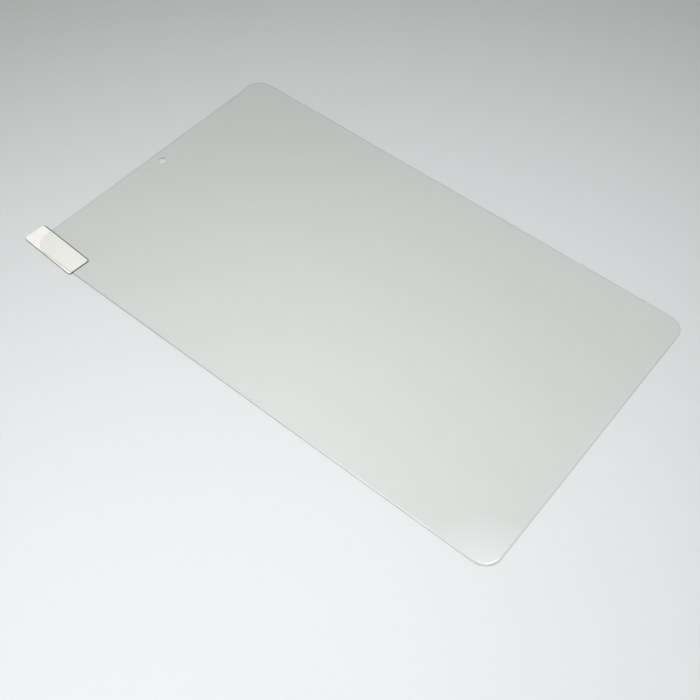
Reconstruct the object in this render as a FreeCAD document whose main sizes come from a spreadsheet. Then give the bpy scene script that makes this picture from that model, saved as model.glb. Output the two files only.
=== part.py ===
"""Tempered glass screen protector for a tablet, with the release film and pull tab under it.

Millimetres. The origin is the centre of the sheet's adhesive face. +Z points out through the touch face,
+Y points to the end with the camera hole, and X runs across the short side.
"""

import FreeCAD
import Part
import math
import os
import Sketcher

# Driving dimensions: name, value, what it measures
SIZES = [
    ("sheet_length", 236.0, "long side of the glass"),
    ("sheet_width", 144.0, "short side of the glass"),
    ("sheet_thickness", 0.5, "tempered glass with the adhesive bonded to it"),
    ("corner_radius", 7.5, "corners of the outline"),
    ("edge_run", 1.1, "how far in from the rim the ground edge starts"),
    ("edge_drop", 0.25, "how far the ground edge falls by the rim"),
    ("hole_diameter", 3.8, "hole for the front camera"),
    ("hole_inset", 5.5, "short side of the glass to the hole's centre"),
    ("hole_bevel", 0.06, "bevel round the top of the hole"),
    ("film_thickness", 0.05, "release film"),
    ("film_inset", 0.3, "rim of the glass to the film's edge"),
    ("tab_length", 30.1, "pull tab, along the long side of the glass"),
    ("tab_width", 10.9, "pull tab, across"),
    ("tab_thickness", 0.3, "pull tab"),
    ("tab_corner_radius", 1.3, "corners of the pull tab"),
    ("tab_reach", 5.45, "how far the pull tab stands out past the short side"),
    ("tab_inset", 4.82, "long side of the glass to the pull tab's centre line"),
    ("tab_angle", 2.9, "degrees that the pull tab is turned, clockwise from above"),
]

SAME_PLACE = 1e-5  # mm, within which an edge is taken to lie where it is looked for

doc = FreeCAD.newDocument("screen_protector")


def make_sheet():
    """The spreadsheet that holds the driving dimensions."""
    sheet = doc.addObject("Spreadsheet::Sheet", "Sizes")
    for row, (name, value, meaning) in enumerate(SIZES, start=1):
        sheet.set(f"A{row}", meaning)
        sheet.set(f"B{row}", str(value))
        sheet.setAlias(f"B{row}", name)
    doc.recompute()


def make_body(label):
    """An empty body under its own label."""
    body = doc.addObject("PartDesign::Body", label)
    body.Label = label
    return body


def make_sketch(body, name, role):
    """An empty sketch on one of the body's origin planes."""
    plane = next(feature for feature in body.Origin.OriginFeatures if feature.Role == role)
    sketch = body.newObject("Sketcher::SketchObject", name)
    sketch.AttachmentSupport = [(plane, "")]
    sketch.MapMode = "FlatFace"
    return sketch


def bind(sketch, constraint, expression):
    """Adds a dimension to the sketch and ties it to an expression."""
    index = sketch.addConstraint(constraint)
    sketch.setExpression(f"Constraints[{index}]", expression)


def draw_rounded_rectangle(sketch, width, length, radius):
    """A rectangle about the sketch's origin with a tangent arc at each corner; sizes are expressions."""
    half_x = sketch.evalExpression(width) / 2
    half_y = sketch.evalExpression(length) / 2
    bend = sketch.evalExpression(radius)
    corner_signs = [(1, 1), (-1, 1), (-1, -1), (1, -1)]
    quarter = math.pi / 2
    up = FreeCAD.Vector(0, 0, 1)
    arcs = []
    for turn, (sign_x, sign_y) in enumerate(corner_signs):
        centre = FreeCAD.Vector(sign_x * (half_x - bend), sign_y * (half_y - bend), 0)
        circle = Part.Circle(centre, up, bend)
        arcs.append(sketch.addGeometry(Part.ArcOfCircle(circle, turn * quarter, (turn + 1) * quarter)))
    sides = []
    for turn, arc in enumerate(arcs):
        following = arcs[(turn + 1) % 4]
        start = sketch.getPoint(arc, 2)
        end = sketch.getPoint(following, 1)
        side = sketch.addGeometry(Part.LineSegment(start, end))
        sketch.addConstraint(Sketcher.Constraint("Tangent", arc, 2, side, 1))
        sketch.addConstraint(Sketcher.Constraint("Tangent", side, 2, following, 1))
        sides.append(side)
    for arc in arcs[1:]:
        sketch.addConstraint(Sketcher.Constraint("Equal", arcs[0], arc))
    top, left, bottom, right = sides
    sketch.addConstraint(Sketcher.Constraint("Horizontal", top))
    sketch.addConstraint(Sketcher.Constraint("Vertical", left))
    sketch.addConstraint(Sketcher.Constraint("Symmetric", top, 1, bottom, 1, -1, 1))
    bind(sketch, Sketcher.Constraint("Radius", arcs[0], bend), radius)
    bind(sketch, Sketcher.Constraint("DistanceX", left, 1, right, 1, 2 * half_x), width)
    bind(sketch, Sketcher.Constraint("DistanceY", bottom, 1, top, 1, 2 * half_y), length)


def draw_hole(sketch):
    """The camera hole's circle on the sheet's centre line, at its inset from the short side."""
    diameter = "Sizes.hole_diameter"
    height = "Sizes.sheet_length / 2 - Sizes.hole_inset"
    centre = FreeCAD.Vector(0, sketch.evalExpression(height), 0)
    size = sketch.evalExpression(diameter)
    circle = sketch.addGeometry(Part.Circle(centre, FreeCAD.Vector(0, 0, 1), size / 2))
    sketch.addConstraint(Sketcher.Constraint("PointOnObject", circle, 3, -2))
    bind(sketch, Sketcher.Constraint("DistanceY", -1, 1, circle, 3, centre.y), height)
    bind(sketch, Sketcher.Constraint("Diameter", circle, size), diameter)


def draw_edge_cutter(sketch):
    """The grinding wheel's section over one rim: an arc that leaves the touch face level and falls away."""
    rim = sketch.evalExpression("Sizes.sheet_width / 2")
    face = sketch.evalExpression("Sizes.sheet_thickness")
    run = sketch.evalExpression("Sizes.edge_run")
    drop = sketch.evalExpression("Sizes.edge_drop")
    bend = (run * run + drop * drop) / (2 * drop)
    start = FreeCAD.Vector(rim - run, face, 0)
    end = FreeCAD.Vector(rim, face - drop, 0)
    outer_low = FreeCAD.Vector(rim + run, face - drop, 0)
    outer_high = FreeCAD.Vector(rim + run, face + drop, 0)
    inner_high = FreeCAD.Vector(rim - run, face + drop, 0)
    circle = Part.Circle(FreeCAD.Vector(rim - run, face - bend, 0), FreeCAD.Vector(0, 0, 1), bend)
    arc = sketch.addGeometry(Part.ArcOfCircle(circle, circle.parameter(end), circle.parameter(start)))
    corners = [end, outer_low, outer_high, inner_high, start]
    lines = []
    for first, second in zip(corners, corners[1:]):
        lines.append(sketch.addGeometry(Part.LineSegment(first, second)))
    low, outer, high, inner = lines
    for first, second in zip(lines, lines[1:]):
        sketch.addConstraint(Sketcher.Constraint("Coincident", first, 2, second, 1))
    sketch.addConstraint(Sketcher.Constraint("Coincident", arc, 1, low, 1))
    sketch.addConstraint(Sketcher.Constraint("Coincident", arc, 2, inner, 2))
    sketch.addConstraint(Sketcher.Constraint("Horizontal", low))
    sketch.addConstraint(Sketcher.Constraint("Vertical", outer))
    sketch.addConstraint(Sketcher.Constraint("Horizontal", high))
    sketch.addConstraint(Sketcher.Constraint("Vertical", inner))
    sketch.addConstraint(Sketcher.Constraint("Vertical", arc, 3, inner, 2))
    bind(sketch, Sketcher.Constraint("DistanceX", -1, 1, low, 1, rim), "Sizes.sheet_width / 2")
    bind(sketch, Sketcher.Constraint("DistanceY", -1, 1, inner, 2, face), "Sizes.sheet_thickness")
    bind(sketch, Sketcher.Constraint("DistanceX", inner, 2, low, 1, run), "Sizes.edge_run")
    bind(sketch, Sketcher.Constraint("DistanceX", low, 1, low, 2, run), "Sizes.edge_run")
    bind(sketch, Sketcher.Constraint("DistanceY", low, 1, inner, 2, drop), "Sizes.edge_drop")
    bind(sketch, Sketcher.Constraint("DistanceY", inner, 2, inner, 1, drop), "Sizes.edge_drop")


def add_pad(body, sketch, height, downwards=False):
    """A pad of the sketch to a height given by an expression."""
    pad = body.newObject("PartDesign::Pad", f"{sketch.Name}_pad")
    pad.Profile = sketch
    pad.Reversed = downwards
    pad.setExpression("Length", height)
    sketch.Visibility = False
    return pad


def add_through_hole(body, sketch):
    """A pocket of the sketch right through the body, both ways from the sketch's plane."""
    pocket = body.newObject("PartDesign::Pocket", f"{sketch.Name}_pocket")
    pocket.Profile = sketch
    pocket.Type = "ThroughAll"
    pocket.Midplane = True
    return pocket


def make_glass_sheet():
    """The glass: padded outline, ground upper edge, camera hole with a bevelled rim."""
    body = make_body("glass_sheet")
    outline = make_sketch(body, "glass_outline", "XY_Plane")
    draw_rounded_rectangle(outline, "Sizes.sheet_width", "Sizes.sheet_length", "Sizes.corner_radius")
    add_pad(body, outline, "Sizes.sheet_thickness")
    section = make_sketch(body, "edge_section", "XZ_Plane")
    draw_edge_cutter(section)
    doc.recompute()
    grind = body.newObject("PartDesign::SubtractivePipe", "ground_edge")
    grind.Profile = section
    grind.Spine = (outline, [f"Edge{index}" for index in range(1, len(outline.Shape.Edges) + 1)])
    grind.Mode = "Standard"
    grind.Transition = "Transformed"
    hole = make_sketch(body, "glass_hole", "XY_Plane")
    draw_hole(hole)
    pocket = add_through_hole(body, hole)
    doc.recompute()
    bevel = body.newObject("PartDesign::Chamfer", "hole_rim")
    bevel.Base = (pocket, [hole_rim(pocket)])
    bevel.setExpression("Size", "Sizes.hole_bevel")
    return body


def hole_rim(pocket):
    """The name of the circular edge where the camera hole meets the touch face."""
    face = pocket.evalExpression("Sizes.sheet_thickness")
    radius = pocket.evalExpression("Sizes.hole_diameter") / 2
    for index, edge in enumerate(pocket.Shape.Edges, start=1):
        curve = edge.Curve
        if isinstance(curve, Part.Circle) and edge.isClosed():
            on_face = abs(curve.Center.z - face) < SAME_PLACE
            if on_face and abs(curve.Radius - radius) < SAME_PLACE:
                return f"Edge{index}"
    raise RuntimeError("the camera hole has no rim on the touch face")


def make_release_film():
    """The film under the glass, a little smaller all round, with its hole in line with the glass's."""
    body = make_body("release_film")
    outline = make_sketch(body, "film_outline", "XY_Plane")
    draw_rounded_rectangle(
        outline,
        "Sizes.sheet_width - 2 * Sizes.film_inset",
        "Sizes.sheet_length - 2 * Sizes.film_inset",
        "Sizes.corner_radius - Sizes.film_inset",
    )
    add_pad(body, outline, "Sizes.film_thickness", downwards=True)
    hole = make_sketch(body, "film_hole", "XY_Plane")
    draw_hole(hole)
    add_through_hole(body, hole)
    return body


def make_pull_tab():
    """The sticker under the film's corner, turned a little and reaching out past the short side."""
    body = make_body("pull_tab")
    outline = make_sketch(body, "tab_outline", "XY_Plane")
    draw_rounded_rectangle(outline, "Sizes.tab_width", "Sizes.tab_length", "Sizes.tab_corner_radius")
    add_pad(body, outline, "Sizes.tab_thickness", downwards=True)
    across = "Sizes.tab_inset - Sizes.sheet_width / 2"
    along = "Sizes.sheet_length / 2 + Sizes.tab_reach - Sizes.tab_length / 2"
    place = f"vector({across}; {along}; -Sizes.film_thickness)"
    turn = "rotation(vector(0; 0; 1); -Sizes.tab_angle)"
    body.setExpression("Placement", f"placement({place}; {turn})")
    return body


def check(bodies):
    """Stops if any object failed or any sub-part isn't one sound solid."""
    for item in doc.Objects:
        if "Invalid" in item.State or "Error" in item.State:
            raise RuntimeError(f"{item.Name}: {item.State}")
    for body in bodies:
        shape = body.Shape
        if shape.isNull() or not shape.isValid() or len(shape.Solids) != 1:
            raise RuntimeError(f"{body.Label} is not one sound solid")


def main():
    make_sheet()
    bodies = [make_glass_sheet(), make_release_film(), make_pull_tab()]
    doc.recompute()
    check(bodies)
    os.makedirs("parts", exist_ok=True)
    for body in bodies:
        body.Shape.exportStep(f"parts/{body.Label}.step")
        print(f"{body.Label}: {body.Shape.Volume:.2f} mm3")


main()
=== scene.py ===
"""A tablet's glass screen protector: clear sheet, release film and white pull tab on a pale floor."""

import math

import bpy
from mathutils import Matrix, Vector
from mathutils.geometry import delaunay_2d_cdt


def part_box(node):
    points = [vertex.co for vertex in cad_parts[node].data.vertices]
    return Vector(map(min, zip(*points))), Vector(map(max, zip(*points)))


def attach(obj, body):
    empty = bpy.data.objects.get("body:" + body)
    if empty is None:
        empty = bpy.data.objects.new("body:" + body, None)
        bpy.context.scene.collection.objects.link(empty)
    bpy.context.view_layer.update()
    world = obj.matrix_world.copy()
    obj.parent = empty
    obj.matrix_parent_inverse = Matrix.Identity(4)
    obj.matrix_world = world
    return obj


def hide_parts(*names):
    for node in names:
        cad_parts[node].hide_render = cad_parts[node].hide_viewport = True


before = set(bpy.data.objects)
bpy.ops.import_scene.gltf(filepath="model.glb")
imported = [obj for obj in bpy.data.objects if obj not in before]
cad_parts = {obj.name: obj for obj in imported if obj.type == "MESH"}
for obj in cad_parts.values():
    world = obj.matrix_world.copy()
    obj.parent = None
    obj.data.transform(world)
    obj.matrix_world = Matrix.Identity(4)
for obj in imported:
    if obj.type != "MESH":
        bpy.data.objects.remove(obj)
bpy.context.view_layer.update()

MM = 0.001

# Sizes that the CAD model gives
_, glass_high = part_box("glass_sheet")
film_low, film_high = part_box("release_film")
tab_low, tab_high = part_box("pull_tab")

# Sizes of the sheet in millimetres, as in the part
CORNER_RADIUS = 7.5
EDGE_RUN = 1.1
EDGE_DROP = 0.25
HOLE_RADIUS = 1.9
HOLE_INSET = 5.5
HOLE_BEVEL = 0.06

# Sizes of the film and the tab in millimetres and the tab's turn in degrees, as in the part
FILM_INSET = 0.3
TAB_LENGTH = 30.1
TAB_WIDTH = 10.9
TAB_CORNER = 1.3
TAB_ANGLE = -2.9

# Fine finish in millimetres: the air on both faces of the film, half of the soft border of the painted
# light that its outline draws on the tab, the rounding of the tab's edges and the gap over the floor
FILM_AIR = 0.008
FILM_BORDER = 0.15
TAB_EDGE_ROUNDING = 0.03
FLOOR_GAP = 0.002

# Painted shade on the ground edge, the dark line that its refraction and contact with the floor give: how
# far in it fades in millimetres and how much further on the wide side, how deep it is at least and how much
# deeper on the dark side away from the lamps, and the share left over the tab
EDGE_SHADE_RUN = 0.80
EDGE_SHADE_MORE = 0.40
EDGE_SHADE_WIDE_SIDE = (0.90, 0.45)
EDGE_SHADE_LEAST = 0.61
EDGE_SHADE_GAIN = 0.43
EDGE_SHADE_DARK_SIDE = (0.45, 0.90)
EDGE_SHADE_OVER_TAB = 0.30

# Painted shadow rim round the tab's border, for the dark gap where it lifts the film: the rings of the mesh
# that carry it and the run over which it fades, in millimetres, and how dark and how wide it is along each
# border
SHADOW_RIM_RINGS = (0.10, 0.20, 0.30, 0.40, 0.50, 0.60)
SHADOW_RIM_FADE = 0.22
SHADOW_RIM_BORDERS = {"far": (1.0, 0.56), "near": (0.85, 0.36), "inner": (1.0, 0.54), "outer": (0.0, 0.3)}

# Corners of a rectangle, counter-clockwise
QUARTERS = ((1, 1), (-1, 1), (-1, -1), (1, -1))

# Steps of the fine meshes: round a corner of the sheet and of the tab, round the hole, across the
# ground edge and along a straight side
CORNER_STEPS = 28
TAB_CORNER_STEPS = 10
HOLE_STEPS = 72
EDGE_STEPS = 14
SIDE_RUNS = 24

# Triangles of the flat faces: only those inside the outline, with no points merged (millimetres)
CAP_INSIDE_ONLY = 1
CAP_MERGE_GAP = 0.00001

# Camera, solved from the sheet's four corners in the photograph: millimetres, and metres for the clipping
CAMERA_PLACE = (-234.960, -171.158, 344.068)
CAMERA_FORWARD = (0.48256, 0.35254, -0.80178)
CAMERA_RIGHT = (0.6275, -0.7778, 0.03567)
CAMERA_LENS = 55.203
SENSOR = 36.0
CLIP_START = 0.01

# Lamps that light the scene and that the glass doesn't mirror: place and radius in metres, radiance
# where 1 is white, and colour
LAMP_COLOUR = (1.0, 0.996, 1.012)
LAMPS = {
    "soft_lamp": ((-0.213, -0.039, 0.35), 0.16, 2.38, LAMP_COLOUR),
    "soft_surround": ((-0.252, -0.075, 0.352), 0.328, 1.3, LAMP_COLOUR),
    "side_lamp": ((0.098, -0.100, 0.50), 0.05, 32.9, (0.957, 1.0, 1.038)),
}

# Dim cards that the glass mirrors: height and radius, radiance, the places on the sheet where the
# card's middle and its brightest part show, in millimetres, its spread in degrees and colour
CARDS = {
    "corner_card": (350.0, 75.0, 3.2, (-73.0, -116.0), (-88.0, -127.0), 11.2, (0.97, 1.0, 1.15)),
    "middle_card": (450.0, 300.0, 0.66, (-80.0, -6.0), (-75.0, -22.0), 30.4, (1.22, 0.80, 0.88)),
}

# Soft glows overhead that only the glass mirrors: direction, the angles in degrees within which
# each is full and past which it ends, and its radiance
GLOWS = {
    "lamp_glow": ((-0.22, 0.02, 0.975), (10.0, 32.0), 3.6),
    "side_glow": ((0.32, 0.03, 0.95), (3.0, 10.0), 9.0),
}

# Where the glows show, in degrees: past an opening round the zenith, and from a rise over the horizon
GLOW_OPENING = (6.5, 15.0)
GLOW_RISE = (20.0, 50.0)

# Surroundings: the rise in degrees by which the wall is pale, the rise up to which the glass mirrors it,
# the side that the lamps stand on, and where the floor turns into far ground and where it ends, in metres
HORIZON_RISE = 25.0
MIRRORED_BELOW = (18.0, 34.0)
LAMP_SIDE = (-0.91, -0.42, 0.0)
FLOOR_FADE = (0.28, 0.42)
FLOOR_REACH = 6.0

# Colours of the surroundings
FILL_COLOUR = (0.124, 0.113, 0.085, 1.0)
FLOOR_COLOUR = (0.672, 0.703, 0.705, 1.0)
PALE_WALL = (0.72, 0.75, 0.745, 1.0)
# Painted light of the far ground: paler on the lamps' side, greyer away from them
HORIZON_LIT_PALE = (0.84, 0.87, 0.865, 1.0)
HORIZON_SHADED_GREY = (0.46, 0.48, 0.477, 1.0)

# Colours of the part
GLASS_TINT = (0.985, 0.992, 0.972, 1.0)
GLASS_SHADE = (0.942, 0.948, 0.943, 1.0)
# Painted shade: the dark line along the ground edge
EDGE_PAINTED_SHADE = (0.45, 0.46, 0.455, 1.0)
DRILLED_GREY = (0.62, 0.65, 0.64, 1.0)
FILM_WHITE = (0.90, 0.92, 0.91, 1.0)
PAPER_FREE = (0.940, 0.933, 0.908, 1.0)
PAPER_FREE_SHADE = (0.922, 0.916, 0.889, 1.0)
# Painted light: the paper is painted lighter where it lies under the film, to make up for the light that
# the glass takes
PAPER_UNDER_FILM_PAINTED_LIGHT = (0.994, 0.980, 0.964, 1.0)
PAPER_UNDER_FILM_PAINTED_LIGHT_FIBRES = (0.976, 0.962, 0.944, 1.0)
# Painted shadow: the dark line round the tab's border, where the tab lifts the film
PAINTED_SHADOW_GREY = (0.018, 0.018, 0.017, 1.0)

# Finishes: the glass's refraction, roughness from the smoothest to the roughest place, how clear the
# drilled wall is, the film's least and most cover, the paper's gloss, and the strength of its fibres
# and their depth in millimetres
GLASS_IOR = 1.5
FACE_ROUGHNESS = (0.0, 0.02)
EDGE_ROUGHNESS = (0.03, 0.10)
DRILLED_ROUGHNESS = (0.50, 0.65)
DRILLED_CLEAR = 0.45
FILM_ROUGHNESS = 0.3
FILM_COVER = (0.012, 0.026)
PAPER_ROUGHNESS = (0.42, 0.58)
PAPER_SPECULAR = 0.35
FIBRE_STRENGTH = 0.25
FIBRE_DEPTH = 0.02
FLOOR_ROUGHNESS = 0.9

# Clouded masks: faint wiping marks on the glass, haze of the film and fibres of the paper
WIPES = {"Scale": 16.0, "Stretch": (1.0, 0.35, 1.0), "Detail": 4.0, "From": 0.42, "To": 0.70}
HAZE = {"Scale": 9.0, "Stretch": (1.0, 0.6, 1.0), "Detail": 3.0, "From": 0.30, "To": 0.75}
FIBRES = {"Scale": 3200.0, "Stretch": (1.0, 0.35, 1.0), "Detail": 5.0, "From": 0.25, "To": 0.75}

# Order of the sheet's materials: its flat faces, its ground edge and its drilled hole
FLAT, GROUND, DRILLED = range(3)

# Sockets of the mix node that hold colours
MIX_COLOURS = (6, 7)
MIX_COLOUR_RESULT = 2


def sines(angles):
    """The sines of angles in degrees."""
    return [math.sin(math.radians(angle)) for angle in angles]


def cosines(angles):
    """The cosines of angles in degrees."""
    return [math.cos(math.radians(angle)) for angle in angles]


def round_outline(half_x, half_y, radius, steps, runs=1):
    """Points round a rectangle with round corners: (place, outward direction), counter-clockwise."""
    centres = [Vector((sx * (half_x - radius), sy * (half_y - radius))) for sx, sy in QUARTERS]
    points = []
    for corner, centre in enumerate(centres):
        for step in range(steps + 1):
            turn = math.radians(90) * (corner + step / steps)
            out = Vector((math.cos(turn), math.sin(turn)))
            points.append((centre + radius * out, out))
        start = centre + radius * out
        ahead = centres[(corner + 1) % len(centres)] + radius * out
        points += [(start.lerp(ahead, run / runs), out) for run in range(1, runs)]
    return points


def round_hole(x, y, radius, steps):
    """Points round a hole: (place, direction into the hole), counter-clockwise."""
    points = []
    for step in range(steps):
        turn = math.tau * step / steps
        out = Vector((math.cos(turn), math.sin(turn)))
        points.append((Vector((x, y)) + radius * out, -out))
    return points


class SheetMesh:
    """Mesh of a flat sheet with profiled walls, which keeps the true normal of every face corner."""

    def __init__(self):
        self.verts = []
        self.faces = []
        self.normals = []
        self.finishes = []

    def ring(self, outline, inset, height):
        """One ring of points, moved in from the outline by inset."""
        first = len(self.verts)
        for place, out in outline:
            spot = place - inset * out
            self.verts.append((spot.x * MM, spot.y * MM, height * MM))
        return list(range(first, len(self.verts)))

    def wall(self, outline, profile, finish=FLAT, shared=None):
        """A wall of quads along a profile of (inset, height, outward part, upward part of the normal)."""
        count = len(outline)
        rings = []
        for index, (inset, height, _, _) in enumerate(profile):
            if index == 0 and shared is not None:
                rings.append(shared)
            else:
                rings.append(self.ring(outline, inset, height))
        for low in range(len(profile) - 1):
            for a in range(count):
                b = (a + 1) % count
                corners = ((low, a), (low, b), (low + 1, b), (low + 1, a))
                self.faces.append([rings[r][k] for r, k in corners])
                slopes = []
                for r, k in corners:
                    out = outline[k][1]
                    across, up = profile[r][2], profile[r][3]
                    slopes.append(Vector((out.x * across, out.y * across, up)).normalized())
                self.normals.append(slopes)
                self.finishes.append(finish)
        return rings

    def cap(self, outer, hole, up):
        """A flat face inside the outer ring, with a hole where one is given, facing up or down."""
        loops = [outer, hole] if hole else [outer]
        index = [vertex for loop in loops for vertex in loop]
        places = [Vector(self.verts[vertex][:2]) / MM for vertex in index]
        slots = {vertex: slot for slot, vertex in enumerate(index)}
        borders = [(slots[loop[k - 1]], slots[loop[k]]) for loop in loops for k in range(len(loop))]
        found = delaunay_2d_cdt(places, borders, [], CAP_INSIDE_ONLY, CAP_MERGE_GAP)
        triangles, sources = found[2], found[3]
        facing = Vector((0, 0, 1 if up else -1))
        for triangle in triangles:
            corners = [index[sources[k][0]] for k in triangle]
            if hole and set(corners) <= set(hole):
                continue
            a, b, c = (Vector(self.verts[k]) for k in corners)
            if (b - a).cross(c - a).z * facing.z < 0:
                corners.reverse()
            self.faces.append(corners)
            self.normals.append([facing] * len(corners))
            self.finishes.append(FLAT)

    def make(self, name, *materials):
        """The finished object, in the collection, with its normals and materials."""
        mesh = bpy.data.meshes.new(name)
        mesh.from_pydata(self.verts, [], self.faces)
        for polygon, finish in zip(mesh.polygons, self.finishes):
            polygon.material_index = finish
            polygon.use_smooth = True
        mesh.normals_split_custom_set([n for face in self.normals for n in face])
        for material in materials:
            mesh.materials.append(material)
        piece = bpy.data.objects.new(name, mesh)
        bpy.context.scene.collection.objects.link(piece)
        return piece


def place_piece(piece, node):
    """The piece stands for its CAD node, on the one body that the part has."""
    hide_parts(node)
    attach(piece, "root")


def new_material(name):
    """An empty node material: (material, nodes, links, output)."""
    material = bpy.data.materials.new(name)
    material.use_nodes = True
    nodes = material.node_tree.nodes
    nodes.clear()
    output = nodes.new("ShaderNodeOutputMaterial")
    return material, nodes, material.node_tree.links, output


def principled(nodes, **values):
    """A Principled shader with its constant sockets set by name."""
    shader = nodes.new("ShaderNodeBsdfPrincipled")
    for socket, value in values.items():
        shader.inputs[socket.replace("_", " ")].default_value = value
    return shader


def mottle_group():
    """Soft clouded mask in the piece's own space, stretched as each finish needs."""
    group = bpy.data.node_groups.new("soft_mottle", "ShaderNodeTree")
    face = group.interface
    for name, kind, value in (
        ("Scale", "NodeSocketFloat", 20.0),
        ("Stretch", "NodeSocketVector", (1.0, 1.0, 1.0)),
        ("Detail", "NodeSocketFloat", 3.0),
        ("From", "NodeSocketFloat", 0.35),
        ("To", "NodeSocketFloat", 0.65),
    ):
        socket = face.new_socket(name, in_out="INPUT", socket_type=kind)
        socket.default_value = value
    face.new_socket("Mask", in_out="OUTPUT", socket_type="NodeSocketFloat")
    nodes, links = group.nodes, group.links
    inside = nodes.new("NodeGroupInput")
    outside = nodes.new("NodeGroupOutput")
    where = nodes.new("ShaderNodeTexCoord")
    stretch = nodes.new("ShaderNodeVectorMath")
    stretch.operation = "MULTIPLY"
    noise = nodes.new("ShaderNodeTexNoise")
    spread = nodes.new("ShaderNodeMapRange")
    spread.interpolation_type = "SMOOTHSTEP"
    links.new(where.outputs["Object"], stretch.inputs[0])
    links.new(inside.outputs["Stretch"], stretch.inputs[1])
    links.new(stretch.outputs["Vector"], noise.inputs["Vector"])
    links.new(inside.outputs["Scale"], noise.inputs["Scale"])
    links.new(inside.outputs["Detail"], noise.inputs["Detail"])
    links.new(noise.outputs["Fac"], spread.inputs["Value"])
    links.new(inside.outputs["From"], spread.inputs["From Min"])
    links.new(inside.outputs["To"], spread.inputs["From Max"])
    links.new(spread.outputs["Result"], outside.inputs["Mask"])
    return group


soft_mottle = mottle_group()


def mottle(nodes, values):
    """The clouded mask placed in a material with its own values."""
    node = nodes.new("ShaderNodeGroup")
    node.node_tree = soft_mottle
    for socket, value in values.items():
        node.inputs[socket].default_value = value
    return node.outputs["Mask"]


def ranged(nodes, links, mask, low, high):
    """The mask turned into a value from low to high."""
    node = nodes.new("ShaderNodeMapRange")
    node.inputs["To Min"].default_value = low
    node.inputs["To Max"].default_value = high
    links.new(mask, node.inputs["Value"])
    return node.outputs["Result"]


def eased(nodes, links, value, start, end, most=1.0):
    """The value eased from nought at start to its most at end."""
    node = nodes.new("ShaderNodeMapRange")
    node.interpolation_type = "SMOOTHSTEP"
    node.inputs["From Min"].default_value = start
    node.inputs["From Max"].default_value = end
    node.inputs["To Max"].default_value = most
    links.new(value, node.inputs["Value"])
    return node.outputs["Result"]


def worked_out(nodes, links, operation, first, second):
    """Two values put together by one sum."""
    node = nodes.new("ShaderNodeMath")
    node.operation = operation
    links.new(first, node.inputs[0])
    links.new(second, node.inputs[1])
    return node.outputs["Value"]


def vector_steps(nodes, links, socket, steps):
    """A vector taken through steps of (operation, second vector or none)."""
    for operation, second in steps:
        node = nodes.new("ShaderNodeVectorMath")
        node.operation = operation
        links.new(socket, node.inputs[0])
        if second is not None:
            node.inputs[1].default_value = second
        socket = node.outputs["Value" if operation in ("LENGTH", "DOT_PRODUCT") else "Vector"]
    return socket


def blended(nodes, links, mask, first, second):
    """One colour turning into another by the mask. Either may be a colour or a socket."""
    node = nodes.new("ShaderNodeMix")
    node.data_type = "RGBA"
    links.new(mask, node.inputs["Factor"])
    for index, colour in zip(MIX_COLOURS, (first, second)):
        if isinstance(colour, bpy.types.NodeSocket):
            links.new(colour, node.inputs[index])
        else:
            node.inputs[index].default_value = colour
    return node.outputs[MIX_COLOUR_RESULT]


def mixed(nodes, links, factor, first, second):
    """One shader turning into another by the factor."""
    node = nodes.new("ShaderNodeMixShader")
    links.new(factor, node.inputs["Fac"])
    links.new(first, node.inputs[1])
    links.new(second, node.inputs[2])
    return node.outputs["Shader"]


def horizon_group():
    """Colour of the far ground and of the wall's foot: painted light, paler on the lamps' side."""
    group = bpy.data.node_groups.new("horizon_tone", "ShaderNodeTree")
    group.interface.new_socket("Direction", in_out="INPUT", socket_type="NodeSocketVector")
    group.interface.new_socket("Colour", in_out="OUTPUT", socket_type="NodeSocketColor")
    nodes, links = group.nodes, group.links
    inside = nodes.new("NodeGroupInput")
    outside = nodes.new("NodeGroupOutput")
    steps = (("MULTIPLY", (1, 1, 0)), ("NORMALIZE", None), ("DOT_PRODUCT", LAMP_SIDE))
    towards = vector_steps(nodes, links, inside.outputs["Direction"], steps)
    side = eased(nodes, links, towards, -1.0, 1.0)
    links.new(blended(nodes, links, side, HORIZON_SHADED_GREY, HORIZON_LIT_PALE), outside.inputs["Colour"])
    return group


horizon_tone = horizon_group()


def horizon(nodes, links, direction):
    """The horizon's colour in one direction, placed in a material or in the surroundings."""
    node = nodes.new("ShaderNodeGroup")
    node.node_tree = horizon_tone
    links.new(direction, node.inputs["Direction"])
    return node.outputs["Colour"]


def clear_glass(name, roughness, clear=1.0, tint=GLASS_TINT, painted_shade_colour=None):
    """Clear glass with faint wiping marks, which lets the lamps light what lies under it, with painted
    shade where a shade colour is given.
    """
    material, nodes, links, output = new_material(name)
    glass = principled(nodes, Base_Color=tint, IOR=GLASS_IOR, Transmission_Weight=clear)
    if painted_shade_colour:
        # Painted shade: the tint turns grey along the ground edge
        rim = nodes.new("ShaderNodeAttribute")
        rim.attribute_name = "ground_edge_painted_shade"
        colour = blended(nodes, links, rim.outputs["Fac"], tint, painted_shade_colour)
        links.new(colour, glass.inputs["Base Color"])
    wipes = mottle(nodes, WIPES)
    links.new(ranged(nodes, links, wipes, *roughness), glass.inputs["Roughness"])
    through = nodes.new("ShaderNodeBsdfTransparent")
    through.inputs["Color"].default_value = GLASS_SHADE
    path = nodes.new("ShaderNodeLightPath")
    shader = glass.outputs["BSDF"]
    for ray in ("Is Shadow Ray", "Is Diffuse Ray"):
        shader = mixed(nodes, links, path.outputs[ray], shader, through.outputs["BSDF"])
    links.new(shader, output.inputs["Surface"])
    return material


def liner_film():
    """Thin clear liner with a trace of cloudiness."""
    material, nodes, links, output = new_material("release_film_clear")
    film = principled(nodes, Base_Color=FILM_WHITE, Roughness=FILM_ROUGHNESS)
    haze = mottle(nodes, HAZE)
    links.new(ranged(nodes, links, haze, *FILM_COVER), film.inputs["Alpha"])
    links.new(film.outputs["BSDF"], output.inputs["Surface"])
    return material


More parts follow.
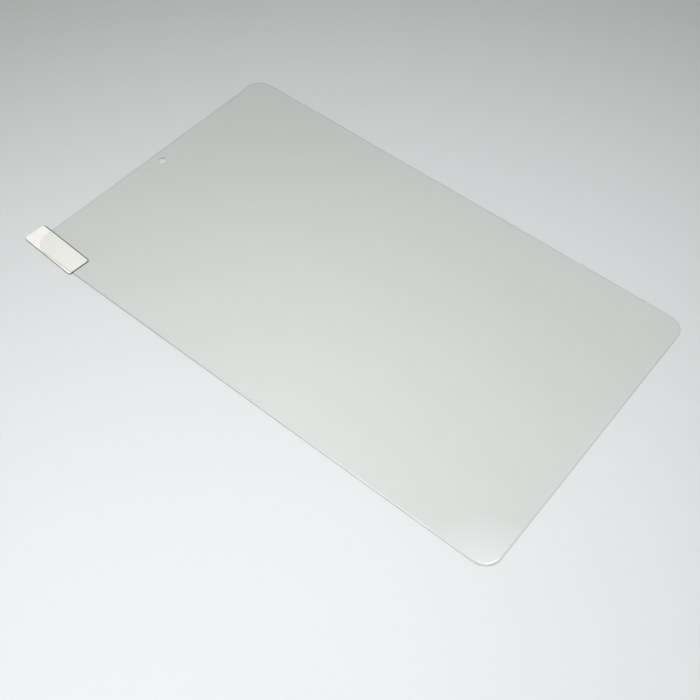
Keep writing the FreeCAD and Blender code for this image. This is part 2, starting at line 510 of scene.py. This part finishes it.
def painted_light_under_film(nodes, links):
    """Mask of the painted light on the paper: one where it lies under the film and zero past the film's
    round outline.
    """
    radius = CORNER_RADIUS - FILM_INSET
    straight = (film_high.x - radius * MM, film_high.y - radius * MM, 0.0)
    where = nodes.new("ShaderNodeTexCoord")
    steps = (("ABSOLUTE", None), ("SUBTRACT", straight), ("MAXIMUM", (0, 0, 0)), ("LENGTH", None))
    distance = vector_steps(nodes, links, where.outputs["Object"], steps)
    mask = nodes.new("ShaderNodeMapRange")
    mask.inputs["From Min"].default_value = (radius + FILM_BORDER) * MM
    mask.inputs["From Max"].default_value = (radius - FILM_BORDER) * MM
    links.new(distance, mask.inputs["Value"])
    return mask.outputs["Result"]


def tab_paper():
    """White satin paper with fine fibres, painted lighter under the film and with a painted shadow line
    round its border.
    """
    material, nodes, links, output = new_material("pull_tab_paper")
    paper = principled(nodes, Specular_IOR_Level=PAPER_SPECULAR)
    fibres = mottle(nodes, FIBRES)
    # Painted light: lighter paper where it lies under the film
    painted_light_mask = painted_light_under_film(nodes, links)
    light = blended(nodes, links, painted_light_mask, PAPER_FREE, PAPER_UNDER_FILM_PAINTED_LIGHT)
    shade = blended(nodes, links, painted_light_mask, PAPER_FREE_SHADE, PAPER_UNDER_FILM_PAINTED_LIGHT_FIBRES)
    white = blended(nodes, links, fibres, light, shade)
    # Painted shadow: a dark line along the tab's border, by the rim attribute
    rim = nodes.new("ShaderNodeAttribute")
    rim.attribute_name = "painted_shadow_rim"
    links.new(blended(nodes, links, rim.outputs["Fac"], white, PAINTED_SHADOW_GREY), paper.inputs["Base Color"])
    links.new(ranged(nodes, links, fibres, *PAPER_ROUGHNESS), paper.inputs["Roughness"])
    bump = nodes.new("ShaderNodeBump")
    bump.inputs["Strength"].default_value = FIBRE_STRENGTH
    bump.inputs["Distance"].default_value = FIBRE_DEPTH * MM
    links.new(fibres, bump.inputs["Height"])
    links.new(bump.outputs["Normal"], paper.inputs["Normal"])
    links.new(paper.outputs["BSDF"], output.inputs["Surface"])
    return material


def ground_arc(top):
    """Profile of the ground edge from the rim up to the touch face, which it meets level."""
    radius = (EDGE_RUN**2 + EDGE_DROP**2) / (2 * EDGE_DROP)
    turn = math.asin(EDGE_RUN / radius)
    arc = []
    for step in range(EDGE_STEPS + 1):
        lean = turn * (1 - step / EDGE_STEPS)
        inset = EDGE_RUN - radius * math.sin(lean)
        height = top - radius * (1 - math.cos(lean))
        arc.append((inset, height, math.sin(lean), math.cos(lean)))
    return arc


def paint_ground_edge_shade(piece, outline, rings):
    """Writes the painted shade of the ground edge to rings of points, each given with its inset."""
    grey = piece.data.attributes.new("ground_edge_painted_shade", "FLOAT", "POINT")
    wide_side, dark_side = Vector(EDGE_SHADE_WIDE_SIDE), Vector(EDGE_SHADE_DARK_SIDE)
    tones = []
    for place, out in outline:
        run = EDGE_SHADE_RUN + EDGE_SHADE_MORE * out.dot(wide_side)
        depth = EDGE_SHADE_LEAST + EDGE_SHADE_GAIN * max(0.0, out.dot(dark_side))
        over_tab = place.x * MM < tab_high.x and place.y * MM > tab_low.y
        share = EDGE_SHADE_OVER_TAB if over_tab else 1.0
        tones.append((run, share * depth))
    for inset, ring in rings:
        for vertex, (run, depth) in zip(ring, tones):
            grey.data[vertex].value = depth * max(0.0, 1 - inset / run)


def make_glass():
    """The sheet: upright wall, arc of the ground edge, flat faces and the camera hole."""
    half_x = glass_high.x / MM
    half_y = glass_high.y / MM
    top = glass_high.z / MM
    outline = round_outline(half_x, half_y, CORNER_RADIUS, CORNER_STEPS, SIDE_RUNS)
    hole = round_hole(0.0, half_y - HOLE_INSET, HOLE_RADIUS, HOLE_STEPS)
    sheet = SheetMesh()
    wall = sheet.wall(outline, [(0, 0, 1, 0), (0, top - EDGE_DROP, 1, 0)], GROUND)
    arc = ground_arc(top)
    ground = sheet.wall(outline, arc, GROUND, wall[-1])
    rim = sheet.wall(hole, [(HOLE_BEVEL, top, 1, 1), (0, top - HOLE_BEVEL, 1, 1)], DRILLED)
    bore = sheet.wall(hole, [(0, top - HOLE_BEVEL, 1, 0), (0, 0, 1, 0)], DRILLED, rim[-1])
    sheet.cap(ground[-1], rim[0], True)
    sheet.cap(wall[0], bore[-1], False)
    faces = clear_glass("toughened_glass_clear", FACE_ROUGHNESS)
    edges = clear_glass("toughened_glass_ground_edge", EDGE_ROUGHNESS, painted_shade_colour=EDGE_PAINTED_SHADE)
    drilled = clear_glass("toughened_glass_drilled_hole", DRILLED_ROUGHNESS, DRILLED_CLEAR, DRILLED_GREY)
    piece = sheet.make("glass_pane", faces, edges, drilled)
    insets = [inset for inset, _, _, _ in arc]
    paint_ground_edge_shade(piece, outline, [(0.0, wall[0]), *zip(insets, ground)])
    return piece


def make_film():
    """The liner, a hair thinner than its solid so that no face lies in another."""
    half_x = film_high.x / MM
    half_y = film_high.y / MM
    low = film_low.z / MM + FILM_AIR
    high = film_high.z / MM - FILM_AIR
    outline = round_outline(half_x, half_y, CORNER_RADIUS - FILM_INSET, CORNER_STEPS)
    hole_y = glass_high.y / MM - HOLE_INSET
    hole = round_hole(0.0, hole_y, HOLE_RADIUS, HOLE_STEPS)
    sheet = SheetMesh()
    wall = sheet.wall(outline, [(0, low, 1, 0), (0, high, 1, 0)])
    bore = sheet.wall(hole, [(0, high, 1, 0), (0, low, 1, 0)])
    sheet.cap(wall[-1], bore[0], True)
    sheet.cap(wall[0], bore[-1], False)
    return sheet.make("liner_film", liner_film())


def border_shadow_rim(out):
    """How dark and how wide the painted shadow rim is where the tab faces this way, smooth round its
    corners.
    """
    across = SHADOW_RIM_BORDERS["far" if out.x > 0 else "near"]
    along = SHADOW_RIM_BORDERS["outer" if out.y > 0 else "inner"]
    return tuple(a * out.x**2 + b * out.y**2 for a, b in zip(across, along))


def paint_tab_shadow_rim(piece, outline, rings):
    """Writes the painted shadow round the tab's border to rings of points, each given with its inset."""
    rim = piece.data.attributes.new("painted_shadow_rim", "FLOAT", "POINT")
    borders = [border_shadow_rim(out) for _, out in outline]
    for inset, ring in rings:
        for vertex, (grey, width) in zip(ring, borders):
            rim.data[vertex].value = grey * min(1.0, max(0.0, (width - inset) / SHADOW_RIM_FADE))


def make_tab():
    """The tab: a slip of paper with soft edges, turned a little against the sheet's side."""
    low = tab_low.z / MM
    high = tab_high.z / MM
    soft = TAB_EDGE_ROUNDING
    outline = round_outline(TAB_WIDTH / 2, TAB_LENGTH / 2, TAB_CORNER, TAB_CORNER_STEPS, SIDE_RUNS)
    sheet = SheetMesh()
    heel = sheet.wall(outline, [(soft, low, 0, -1), (0, low + soft, 1, 0)])
    upright = sheet.wall(outline, [(0, low + soft, 1, 0), (0, high - soft, 1, 0)], shared=heel[-1])
    shoulder = sheet.wall(outline, [(0, high - soft, 1, 0), (soft, high, 0, 1)], shared=upright[-1])
    insets = (soft, *SHADOW_RIM_RINGS)
    margin = sheet.wall(outline, [(inset, high, 0, 1) for inset in insets], shared=shoulder[-1])
    sheet.cap(margin[-1], None, True)
    sheet.cap(heel[0], None, False)
    piece = sheet.make("pull_tab_slip", tab_paper())
    paint_tab_shadow_rim(piece, outline, [(0.0, heel[-1]), (0.0, upright[-1]), *zip(insets, margin)])
    middle = (tab_low + tab_high) / 2
    turn = Matrix.Rotation(math.radians(TAB_ANGLE), 4, "Z")
    piece.data.transform(Matrix.Translation((middle.x, middle.y, 0)) @ turn)
    return piece


def seen_directly(nodes, links):
    """One for rays from the camera, straight or through the glass."""
    rays = nodes.new("ShaderNodeLightPath").outputs
    return worked_out(nodes, links, "MAXIMUM", rays["Is Camera Ray"], rays["Is Transmission Ray"])


def floor_finish():
    """Pale matt finish, which far off turns into a glow in the horizon's tone, painted light paler on the
    lamps' side, where it is seen directly.
    """
    material, nodes, links, output = new_material("pale_floor")
    matt = principled(nodes, Base_Color=FLOOR_COLOUR, Roughness=FLOOR_ROUGHNESS, Specular_IOR_Level=0.0)
    place = nodes.new("ShaderNodeNewGeometry").outputs["Position"]
    ground = nodes.new("ShaderNodeEmission")
    links.new(horizon(nodes, links, place), ground.inputs["Color"])
    distance = vector_steps(nodes, links, place, [("LENGTH", None)])
    far = eased(nodes, links, distance, *FLOOR_FADE)
    share = worked_out(nodes, links, "MULTIPLY", far, seen_directly(nodes, links))
    shader = mixed(nodes, links, share, matt.outputs["BSDF"], ground.outputs["Emission"])
    links.new(shader, output.inputs["Surface"])
    return material


def make_floor():
    """Pale floor that leans by a hair: the sheet rests on its tab and on the corner across from it."""
    tab_point = Vector((tab_high.x, tab_low.y, tab_low.z - FLOOR_GAP * MM))
    reach = CORNER_RADIUS * (1 - math.sqrt(0.5)) * MM
    far_point = Vector((film_high.x - reach, film_low.y + reach, film_low.z - FLOOR_GAP * MM))
    along = (far_point - tab_point).xy
    slope = (far_point.z - tab_point.z) / along.length_squared
    corners = []
    for sx, sy in QUARTERS:
        spot = Vector((sx * FLOOR_REACH, sy * FLOOR_REACH))
        corners.append((spot.x, spot.y, tab_point.z + slope * (spot - tab_point.xy).dot(along)))
    mesh = bpy.data.meshes.new("floor")
    mesh.from_pydata(corners, [], [range(len(corners))])
    mesh.materials.append(floor_finish())
    floor = bpy.data.objects.new("floor", mesh)
    bpy.context.scene.collection.objects.link(floor)


def make_lamp(name, place, radius, radiance, colour):
    """A round soft lamp facing down."""
    lamp = bpy.data.lights.new(name, "AREA")
    lamp.shape = "DISK"
    lamp.size = 2 * radius
    lamp.energy = radiance * math.pi * math.pi * radius**2
    lamp.color = colour
    holder = bpy.data.objects.new(name, lamp)
    holder.location = place
    bpy.context.scene.collection.objects.link(holder)
    return holder


def make_card(name, height, radius, radiance, seen_at, brightest_at, spread, colour):
    """A dim card that the glass mirrors at one place, fading out across the sheet."""
    eye = Vector(CAMERA_PLACE)
    seen, brightest = ((Vector(spot) - eye.xy) / eye.z for spot in (seen_at, brightest_at))
    place = Vector(seen_at) + seen * height
    card = make_lamp(name, Vector((*place, height)) * MM, radius * MM, radiance, colour)
    half = math.radians(spread) / 2
    card.data.spread = 2 * half
    card.data.energy *= (math.tan(half) - half) / math.tan(half)
    aim = Vector((-brightest.x, -brightest.y, -1.0))
    card.rotation_euler = aim.to_track_quat("-Z", "Y").to_euler()


def round_glow(nodes, links, direction, towards, angles, radiance):
    """A soft round glow in the surroundings, full within the first angle and gone past the second."""
    middle = Vector(towards).normalized()
    lined_up = vector_steps(nodes, links, direction, [("DOT_PRODUCT", middle)])
    full, end = cosines(angles)
    return eased(nodes, links, lined_up, end, full, radiance)


def overhead_glows(nodes, links, direction, height):
    """The glows together, with the opening straight above them and their fade towards the horizon."""
    lamp_glow, side_glow = (round_glow(nodes, links, direction, *values) for values in GLOWS.values())
    glows = worked_out(nodes, links, "ADD", lamp_glow, side_glow)
    opening = eased(nodes, links, height, *cosines(GLOW_OPENING))
    risen = eased(nodes, links, height, *sines(GLOW_RISE))
    shown = worked_out(nodes, links, "MULTIPLY", opening, risen)
    return worked_out(nodes, links, "MULTIPLY", glows, shown)


def wall_tone(nodes, links, direction, height):
    """The wall's colour, which rises out of the horizon's tone."""
    rise = eased(nodes, links, height, 0.0, math.sin(math.radians(HORIZON_RISE)))
    return blended(nodes, links, rise, horizon(nodes, links, direction), PALE_WALL)


def make_surroundings():
    """A dim even fill, a wall for the camera, and what the glass mirrors: the wall's foot and the glows."""
    world = bpy.data.worlds.new("studio")
    world.use_nodes = True
    nodes, links = world.node_tree.nodes, world.node_tree.links
    nodes.clear()
    direction = nodes.new("ShaderNodeTexCoord").outputs["Generated"]
    parts = nodes.new("ShaderNodeSeparateXYZ")
    links.new(direction, parts.inputs["Vector"])
    height = parts.outputs["Z"]
    mirrored = nodes.new("ShaderNodeLightPath").outputs["Is Glossy Ray"]
    fill = nodes.new("ShaderNodeBackground")
    fill.inputs["Color"].default_value = FILL_COLOUR
    wall = nodes.new("ShaderNodeBackground")
    links.new(wall_tone(nodes, links, direction, height), wall.inputs["Color"])
    below, above = sines(MIRRORED_BELOW)
    foot = eased(nodes, links, height, above, below)
    foot_mirrored = worked_out(nodes, links, "MULTIPLY", foot, mirrored)
    shown = worked_out(nodes, links, "MAXIMUM", foot_mirrored, seen_directly(nodes, links))
    room = mixed(nodes, links, shown, fill.outputs["Background"], wall.outputs["Background"])
    glow = nodes.new("ShaderNodeBackground")
    glow.inputs["Color"].default_value = (*LAMP_COLOUR, 1.0)
    glows = overhead_glows(nodes, links, direction, height)
    links.new(worked_out(nodes, links, "MULTIPLY", glows, mirrored), glow.inputs["Strength"])
    added = nodes.new("ShaderNodeAddShader")
    links.new(room, added.inputs[0])
    links.new(glow.outputs["Background"], added.inputs[1])
    output = nodes.new("ShaderNodeOutputWorld")
    links.new(added.outputs["Shader"], output.inputs["Surface"])
    bpy.context.scene.world = world


def make_light():
    """The lamps, which the glass doesn't mirror, then the cards that it does, and the surroundings."""
    for name, values in LAMPS.items():
        lamp = make_lamp(name, *values)
        lamp.visible_glossy = False
        lamp.visible_transmission = False
    for name, values in CARDS.items():
        make_card(name, *values)
    make_surroundings()


def make_camera():
    """The camera at the photograph's place and angle."""
    lens = bpy.data.cameras.new("camera")
    lens.lens = CAMERA_LENS
    lens.sensor_width = SENSOR
    lens.clip_start = CLIP_START
    camera = bpy.data.objects.new("camera", lens)
    forward = Vector(CAMERA_FORWARD).normalized()
    right = Vector(CAMERA_RIGHT)
    right = (right - forward * right.dot(forward)).normalized()
    up = right.cross(forward)
    turn = Matrix((right, up, -forward)).transposed().to_4x4()
    camera.matrix_world = Matrix.Translation(Vector(CAMERA_PLACE) * MM) @ turn
    bpy.context.scene.collection.objects.link(camera)
    bpy.context.scene.camera = camera


place_piece(make_glass(), "glass_sheet")
place_piece(make_film(), "release_film")
place_piece(make_tab(), "pull_tab")
make_floor()
make_light()
make_camera()
bpy.context.scene.view_settings.view_transform = "Standard"
